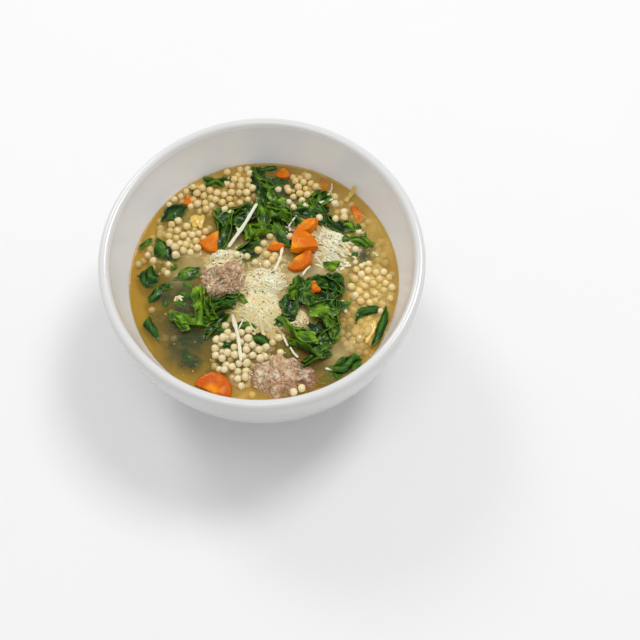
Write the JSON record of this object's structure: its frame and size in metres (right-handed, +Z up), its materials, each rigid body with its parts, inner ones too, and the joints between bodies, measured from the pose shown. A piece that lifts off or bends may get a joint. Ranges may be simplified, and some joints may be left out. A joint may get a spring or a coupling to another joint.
{
  "type": "bowl of soup",
  "caption": "Deep round white china bowl filled with golden broth, meatballs, pearl pasta, wilted greens, cut carrot, onion and grated cheese.",
  "frame": {"origin": "centre of the underside of the bowl's foot ring", "axes": "+Z up through the rim, -Y towards the viewer of the picture, +X to the viewer's right"},
  "size_m": [0.16, 0.16, 0.075],
  "materials": {
    "china": "glossy white glaze",
    "broth": "wet, cloudy and glossy",
    "meat": "moist crumbly ground meat",
    "carrot": "wet and smooth",
    "spinach": "wet and glossy",
    "pasta": "wet and smooth",
    "cheese": "soft and matt",
    "onion": "wet and translucent"
  },
  "bodies": {
    "root": {"bowl": "china", "meatball_left": "meat", "meatball_front": "meat", "carrot_back": "carrot", "carrot_middle": "carrot", "carrot_front": "carrot", "carrot_left": "carrot", "carrot_centre": "carrot", "carrot_rim": "carrot", "carrot_back_left": "carrot", "carrot_far": "carrot", "carrot_crumb": "carrot", "cheese_middle": "cheese", "cheese_by_meatball": "cheese", "cheese_by_carrots": "cheese", "spinach_back": "spinach", "spinach_right": "spinach", "spinach_left": "spinach", "spinach_back_right": "spinach", "leaf_back_left": "spinach", "leaf_left_upper": "spinach", "leaf_left": "spinach", "leaf_left_rim": "spinach", "leaf_left_dark": "spinach", "leaf_left_bright": "spinach", "leaf_left_low": "spinach", "leaf_left_front": "spinach", "leaf_far_rim": "spinach", "leaf_right_far": "spinach", "leaf_right_back": "spinach", "leaf_right_small": "spinach", "leaf_by_carrots": "spinach", "leaf_right_arch": "spinach", "leaf_right_wall": "spinach", "leaf_front_right": "spinach", "leaf_front_far": "spinach", "leaf_front_mid": "spinach", "leaf_front_strip": "spinach", "leaf_by_meatball": "spinach", "shred_back": "cheese", "shred_front": "cheese", "shred_centre": "cheese", "onion_piece": "onion", "onion_strip_wall": "onion", "onion_strip_right": "onion", "pasta_back_left": "pasta", "pasta_far_rim": "pasta", "pasta_left": "pasta", "pasta_front": "pasta", "pasta_back_right": "pasta", "pasta_right": "pasta", "pasta_centre": "pasta", "broth": "broth"}
  },
  "joints": []
}
